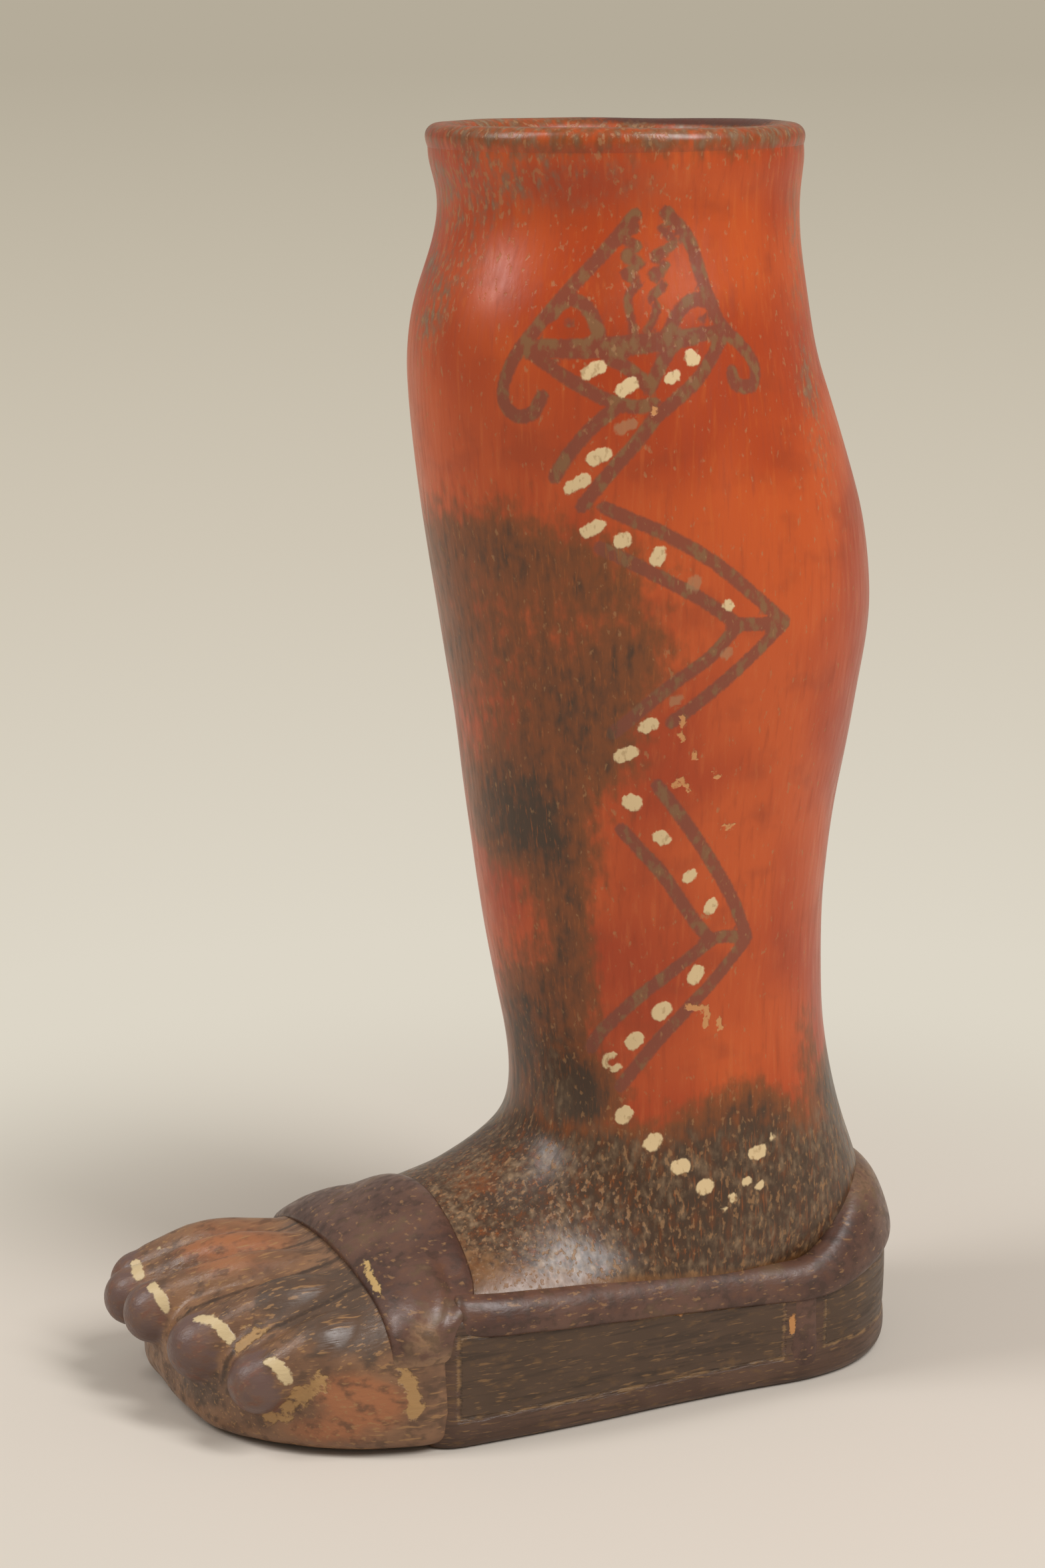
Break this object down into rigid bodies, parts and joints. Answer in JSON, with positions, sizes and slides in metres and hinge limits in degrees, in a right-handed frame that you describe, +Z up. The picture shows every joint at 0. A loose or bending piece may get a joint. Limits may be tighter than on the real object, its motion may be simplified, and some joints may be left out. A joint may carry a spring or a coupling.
{
  "type": "leg-shaped drinking cup",
  "caption": "Hand-built ceramic drinking cup in the form of a lower leg with a sandalled foot, open at the top and hollow down to the sole, standing on its flat sole.",
  "frame": {"origin": "on the floor face of the sole, straight under the centre of the mouth", "axes": "+X is the way the toes point, +Y is the little-toe side of this left leg, +Z is up"},
  "size_m": [0.1959, 0.0998, 0.3],
  "materials": {
    "red_slip_clay": "burnished red-orange slip",
    "smoked_clay": "burnished slip darkened by smoke",
    "purple_slip_clay": "burnished purple-brown slip"
  },
  "bodies": {
    "root": {"rim_coil": "purple_slip_clay", "mouth_course": "red_slip_clay", "knee_course": "red_slip_clay", "calf_course": "red_slip_clay", "shin_course": "red_slip_clay", "ankle_course": "red_slip_clay", "instep_vault": "smoked_clay", "toe_cap": "smoked_clay", "sole_slab": "smoked_clay", "lateral_wall": "smoked_clay", "medial_wall": "smoked_clay", "heel_wall": "smoked_clay", "instep_strap": "purple_slip_clay", "heel_band": "purple_slip_clay", "lateral_edge_strip": "purple_slip_clay", "medial_edge_strip": "purple_slip_clay", "lateral_corner_strip": "purple_slip_clay", "medial_corner_strip": "purple_slip_clay", "big_toe": "smoked_clay", "second_toe": "smoked_clay", "third_toe": "smoked_clay", "fourth_toe": "smoked_clay", "little_toe": "smoked_clay"}
  },
  "joints": []
}
